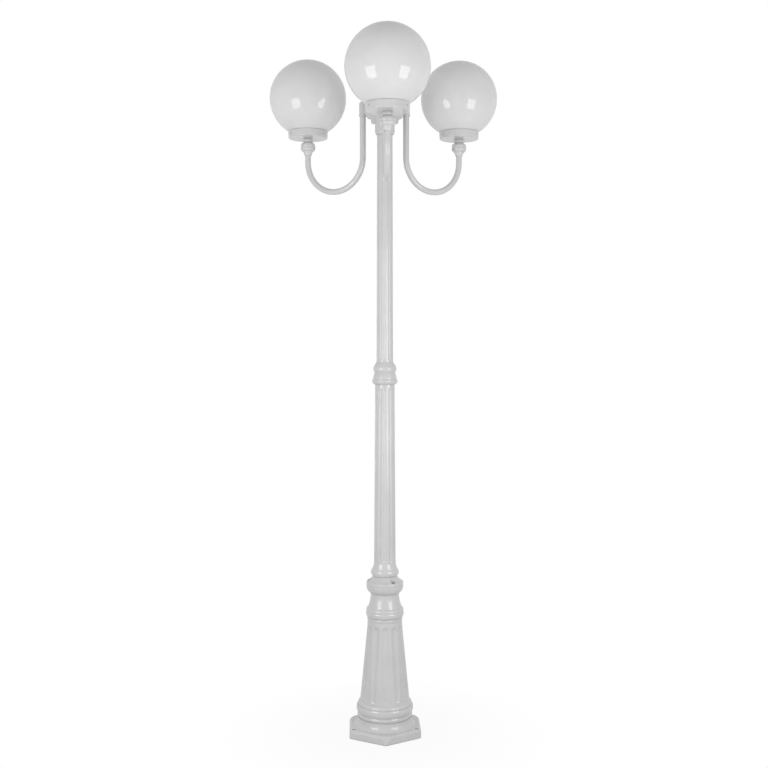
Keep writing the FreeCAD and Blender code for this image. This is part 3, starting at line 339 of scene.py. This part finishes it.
def painted_metal(name, crease_shade, peel_mm, wave_mm, gloss_low, gloss_high):
    """Glossy powder paint with its orange peel over a surface with slow waves of its own."""
    material, tree, shader, place = new_material(name)
    cloud = noise(tree, place, CLOUD_SIZE, detail=3)
    paint = shade(tree, spread(tree, cloud, 0, 1), PAINT_LIGHT, PAINT_DULL)
    # the base colour carries painted shade in the creases
    tree.links.new(paint_shade_in_creases(tree, paint, crease_shade), shader.inputs["Base Color"])
    tree.links.new(spread(tree, cloud, gloss_low, gloss_high), shader.inputs["Roughness"])
    soft_edges = add_node(tree, "ShaderNodeBevel", {"samples": EDGE_SAMPLES}, {"Radius": EDGE_ROUND * MM})
    waves = bump(tree, noise(tree, place, wave_mm, detail=2), WAVE_DEPTH, soft_edges.outputs[0])
    peel = bump(tree, noise(tree, place, peel_mm, detail=1), PEEL_DEPTH, waves)
    grit = bump(tree, noise(tree, place, GRIT_SIZE, detail=1), GRIT_DEPTH, peel)
    tree.links.new(grit, shader.inputs["Normal"])
    shader.inputs["IOR"].default_value = PAINT_IOR
    shader.inputs["Coat Weight"].default_value = CLEAR_SKIN
    shader.inputs["Coat Roughness"].default_value = CLEAR_SKIN_ROUGHNESS
    return material


cast_paint = painted_metal("powder_paint_on_sand_cast_aluminium", CAST_CREASE_SHADE, 3.0, 22, 0.15, 0.21)
tube_paint = painted_metal("powder_paint_on_bent_aluminium_tube", SMOOTH_CREASE_SHADE, 2.5, 60, 0.06, 0.09)
sheet_paint = painted_metal("powder_paint_on_spun_aluminium", SMOOTH_CREASE_SHADE, 2.5, 45, 0.05, 0.08)
print("paints:", cast_paint.name, tube_paint.name, sheet_paint.name)

# %% [markdown]
# ## Opal globes
# The globes are blown opal acrylic: milky right through, with a wet-looking gloss outside. Light goes a
# little way in and comes out again, which subsurface scattering gives. A faint unevenness of the blown
# wall bends the reflections slightly.

# %% Opal acrylic
OPAL_LIGHT = "E4E4E4"
OPAL_DULL = "E0E0E0"
OPAL_CLOUD = 90
OPAL_WAVE = 55
OPAL_WAVE_DEPTH = 0.05
ACRYLIC_IOR = 1.49
MILKINESS = 0.35
LIGHT_DEPTH = 6


def opal_acrylic():
    """Milky blown acrylic with a glossy skin."""
    material, tree, shader, place = new_material("blown_opal_acrylic")
    cloud = noise(tree, place, OPAL_CLOUD, detail=2)
    waves = bump(tree, noise(tree, place, OPAL_WAVE, detail=1), OPAL_WAVE_DEPTH)
    tree.links.new(shade(tree, spread(tree, cloud, 0, 1), OPAL_LIGHT, OPAL_DULL), shader.inputs["Base Color"])
    tree.links.new(spread(tree, cloud, 0.008, 0.014), shader.inputs["Roughness"])
    tree.links.new(waves, shader.inputs["Normal"])
    shader.inputs["IOR"].default_value = ACRYLIC_IOR
    shader.inputs["Subsurface Weight"].default_value = MILKINESS
    shader.inputs["Subsurface Radius"].default_value = (1.0, 1.0, 1.0)
    shader.inputs["Subsurface Scale"].default_value = LIGHT_DEPTH * MM
    return material


opal = opal_acrylic()
print("opal:", opal.name)

# %% [markdown]
# ## Small parts
# Screws are zinc-plated steel, nipples and nuts turned brass, lampholders glazed porcelain, the gaskets
# moulded rubber and the terminal block moulded nylon. Each gets the grain that its making leaves. The small
# globe screws in the fitters' rims are painted with them.

# %% Metals
METAL_CLOUD = 4
GROOVE_DEPTH = 0.02
GROOVE_WANDER = 0.6


def turned_metal(name, light, dull, roughness, groove_mm):
    """Metal with the fine lines that a lathe or a thread roller leaves round it."""
    material, tree, shader, place = new_material(name)
    cloud = noise(tree, place, METAL_CLOUD, detail=3)
    tree.links.new(shade(tree, spread(tree, cloud, 0, 1), light, dull), shader.inputs["Base Color"])
    shader.inputs["Metallic"].default_value = 1.0
    tree.links.new(spread(tree, cloud, roughness * 0.8, roughness * 1.3), shader.inputs["Roughness"])
    groove_scale = 0.5 / (groove_mm * MM) / math.pi
    lines = add_node(tree, "ShaderNodeTexWave", {"bands_direction": "Z"},
                     {"Scale": groove_scale, "Distortion": GROOVE_WANDER}, {"Vector": place})
    tree.links.new(bump(tree, lines.outputs["Fac"], GROOVE_DEPTH), shader.inputs["Normal"])
    return material


zinc = turned_metal("zinc_plated_steel", "C9CBCE", "AEB2B8", 0.3, 0.4)
brass = turned_metal("turned_brass", "D9B566", "BF9646", 0.28, 0.5)
cap_brass = turned_metal("rolled_brass_lamp_cap", "D8BE86", "C4A566", 0.25, 0.6)
print("metals:", zinc.name, brass.name, cap_brass.name)

# %% Porcelain, rubber, nylon and bulb glass
CLOUD_TO_GRAIN = 6


def plain_finish(name, light, dull, roughness, grain_mm, depth_mm, ior, coat=0.0):
    """A moulded or glazed finish with its own fine grain."""
    material, tree, shader, place = new_material(name)
    cloud = noise(tree, place, grain_mm * CLOUD_TO_GRAIN, detail=3)
    tree.links.new(shade(tree, spread(tree, cloud, 0, 1), light, dull), shader.inputs["Base Color"])
    tree.links.new(spread(tree, cloud, roughness * 0.85, roughness * 1.15), shader.inputs["Roughness"])
    tree.links.new(bump(tree, noise(tree, place, grain_mm, detail=1), depth_mm), shader.inputs["Normal"])
    shader.inputs["IOR"].default_value = ior
    shader.inputs["Coat Weight"].default_value = coat
    return material


porcelain = plain_finish("glazed_porcelain", "EEEBE2", "E6E2D6", 0.18, 8.0, 0.05, 1.52, coat=0.4)
rubber = plain_finish("moulded_rubber", "2B2B2C", "343434", 0.7, 1.0, 0.03, 1.52)
nylon = plain_finish("moulded_nylon", "DCDBD3", "CFCDC3", 0.45, 1.2, 0.02, 1.53)
frosted = plain_finish("etched_bulb_glass", "F2F1EC", "ECEAE2", 0.4, 0.8, 0.01, 1.5)
button_glass = plain_finish("black_button_glass", "1E1E20", "29292B", 0.2, 1.5, 0.01, 1.6)
print("others:", porcelain.name, rubber.name, nylon.name, frosted.name, button_glass.name)

# %% [markdown]
# ## Dress the nodes
# Each node of the model gets the finish of its kind. Castings and tubes share the paint's colour but not
# its relief.

# %% Assign finishes
FINISHES = {
    "pedestal": cast_paint, "lower_column": cast_paint, "joint_collar": cast_paint,
    "upper_column": cast_paint, "arm_hub": cast_paint, "hub_cap": cast_paint, "hub_cap_nut": cast_paint,
    "knob": cast_paint,
    "knob_washers": sheet_paint, "fitter": sheet_paint, "globe_screw": sheet_paint, "arm": tube_paint,
    "globe": opal, "globe_gasket": rubber, "lampholder": porcelain, "bulb": frosted, "terminal_block": nylon,
    "flange_screws": zinc, "arm_set_screws": zinc, "knob_set_screws": zinc, "terminal_plate": zinc,
    "terminal_screws": zinc, "earth_screw": brass, "nipple": brass, "nipple_nuts": brass,
}


def finish_of(node):
    """The finish for a node: the longest name in the list that the node's name starts with."""
    fitting = [name for name in FINISHES if node == name or node.startswith(name + "_")]
    return FINISHES[max(fitting, key=len)]


for node, piece in NODES.items():
    piece.data.materials.clear()
    piece.data.materials.append(finish_of(node))
print("dressed", len(NODES), "nodes")

# %% [markdown]
# ## Bulbs
# A screw bulb stands in each lampholder, and shows when its globe is lifted off. It is an etched glass pear
# on a rolled brass cap, with a black glass button and a soldered contact underneath. The model has a plain
# one in each place, which a detailed bulb replaces. Glass, button and contact are round, so they are spun
# from half a profile. The thread isn't: it climbs, so it is a grid wrapped round the cap with its radius set
# by a helix.

# %% Spin
SPIN_STEPS = 64


def spin_profile(bm, profile, slot):
    """Spin (radius, height) points in millimetres once round the z axis, with one finish."""
    start = len(bm.faces)
    line = [bm.verts.new((radius * MM, 0, height * MM)) for radius, height in profile]
    edges = [bm.edges.new(pair) for pair in zip(line, line[1:])]
    bmesh.ops.spin(bm, geom=line + edges, axis=(0, 0, 1), cent=(0, 0, 0), steps=SPIN_STEPS,
                   angle=2 * math.pi, use_merge=True)
    bm.faces.ensure_lookup_table()
    for face in bm.faces[start:]:
        face.material_index = slot


print("spins take", SPIN_STEPS, "steps")

# %% Thread
THREAD_COLUMNS = 48
THREAD_ROWS = 64


def wrap_thread(bm, radius, depth, pitch, foot, top, slot):
    """A rolled thread in millimetres: a grid round the z axis whose radius follows a climbing wave."""
    rings = []
    for row in range(THREAD_ROWS + 1):
        height = foot + (top - foot) * row / THREAD_ROWS
        ring = []
        for column in range(THREAD_COLUMNS):
            turn = column / THREAD_COLUMNS
            swell = radius - depth / 2 + depth / 2 * math.sin(2 * math.pi * (height / pitch - turn))
            ring.append(bm.verts.new((swell * MM * math.cos(2 * math.pi * turn),
                                      swell * MM * math.sin(2 * math.pi * turn), height * MM)))
        rings.append(ring)
    for low, high in zip(rings, rings[1:]):
        for column in range(THREAD_COLUMNS):
            after = (column + 1) % THREAD_COLUMNS
            face = bm.faces.new((low[column], low[after], high[after], high[column]))
            face.material_index = slot


print("a thread takes", THREAD_COLUMNS, "by", THREAD_ROWS, "faces")

# %% Profiles of the bulb
CAP_RADIUS = 13.0
CAP_RISE = 28
CAP_RIM = 2
GLASS_RADIUS = 29.9
GLASS_INSET = 0.4
EQUATOR = 70
GLASS_STEPS = 12
THREAD_TOP = CAP_RISE - 3
BUTTON_TOP = 4
CONTACT_RADIUS = 5
CONTACT_RISE = 1


def glass_profile():
    """The pear from its neck in the cap, out to the equator and over the dome."""
    neck_radius = CAP_RADIUS - GLASS_INSET
    neck_foot = CAP_RISE - CAP_RIM
    neck = []
    for step in range(GLASS_STEPS + 1):
        share = step / GLASS_STEPS
        swell = 0.5 - 0.5 * math.cos(math.pi * share)
        radius = neck_radius + (GLASS_RADIUS - neck_radius) * swell
        neck.append((radius, neck_foot + (EQUATOR - neck_foot) * share))
    dome = []
    for step in range(1, GLASS_STEPS + 1):
        angle = math.pi / 2 * step / GLASS_STEPS
        dome.append((GLASS_RADIUS * math.cos(angle), EQUATOR + GLASS_RADIUS * math.sin(angle)))
    return neck + dome


RIM_PROFILE = [(CAP_RADIUS - 0.5, THREAD_TOP), (CAP_RADIUS, CAP_RISE - CAP_RIM), (CAP_RADIUS, CAP_RISE - 0.6),
               (CAP_RADIUS - 0.6, CAP_RISE)]
BUTTON_PROFILE = [(CAP_RADIUS - 0.5, BUTTON_TOP), (CAP_RADIUS - 2, BUTTON_TOP - 1.5),
                  (CONTACT_RADIUS, CONTACT_RISE)]
CONTACT_PROFILE = [(CONTACT_RADIUS, CONTACT_RISE), (4, 0.2), (0, 0)]
print("glass points:", len(glass_profile()))

# %% Build the bulbs
THREAD_PITCH = 3.6
THREAD_DEPTH = 0.9
BULB_FINISHES = (frosted, cap_brass, button_glass)
GLASS_SLOT, BRASS_SLOT, BUTTON_SLOT = range(len(BULB_FINISHES))


def build_bulb(node):
    """A bulb of glass, threaded cap, button and contact, in the place of the plain solid."""
    low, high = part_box(node)
    bm = bmesh.new()
    spin_profile(bm, glass_profile(), GLASS_SLOT)
    wrap_thread(bm, CAP_RADIUS, THREAD_DEPTH, THREAD_PITCH, BUTTON_TOP, THREAD_TOP, BRASS_SLOT)
    spin_profile(bm, RIM_PROFILE, BRASS_SLOT)
    spin_profile(bm, BUTTON_PROFILE, BUTTON_SLOT)
    spin_profile(bm, CONTACT_PROFILE, BRASS_SLOT)
    bmesh.ops.remove_doubles(bm, verts=bm.verts, dist=1e-6)
    bmesh.ops.recalc_face_normals(bm, faces=bm.faces)
    foot = ((low[0] + high[0]) / 2, (low[1] + high[1]) / 2, low[2])
    bmesh.ops.translate(bm, verts=bm.verts, vec=foot)
    mesh = bpy.data.meshes.new("detailed_" + node)
    bm.to_mesh(mesh)
    bm.free()
    mesh.shade_smooth()
    for finish in BULB_FINISHES:
        mesh.materials.append(finish)
    piece = bpy.data.objects.new("detailed_" + node, mesh)
    bpy.context.scene.collection.objects.link(piece)
    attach(piece, BODY_OF[node])
    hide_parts(node)
    print(piece.name, len(mesh.polygons), "faces")


for head in HEADS:
    build_bulb("bulb_" + head)
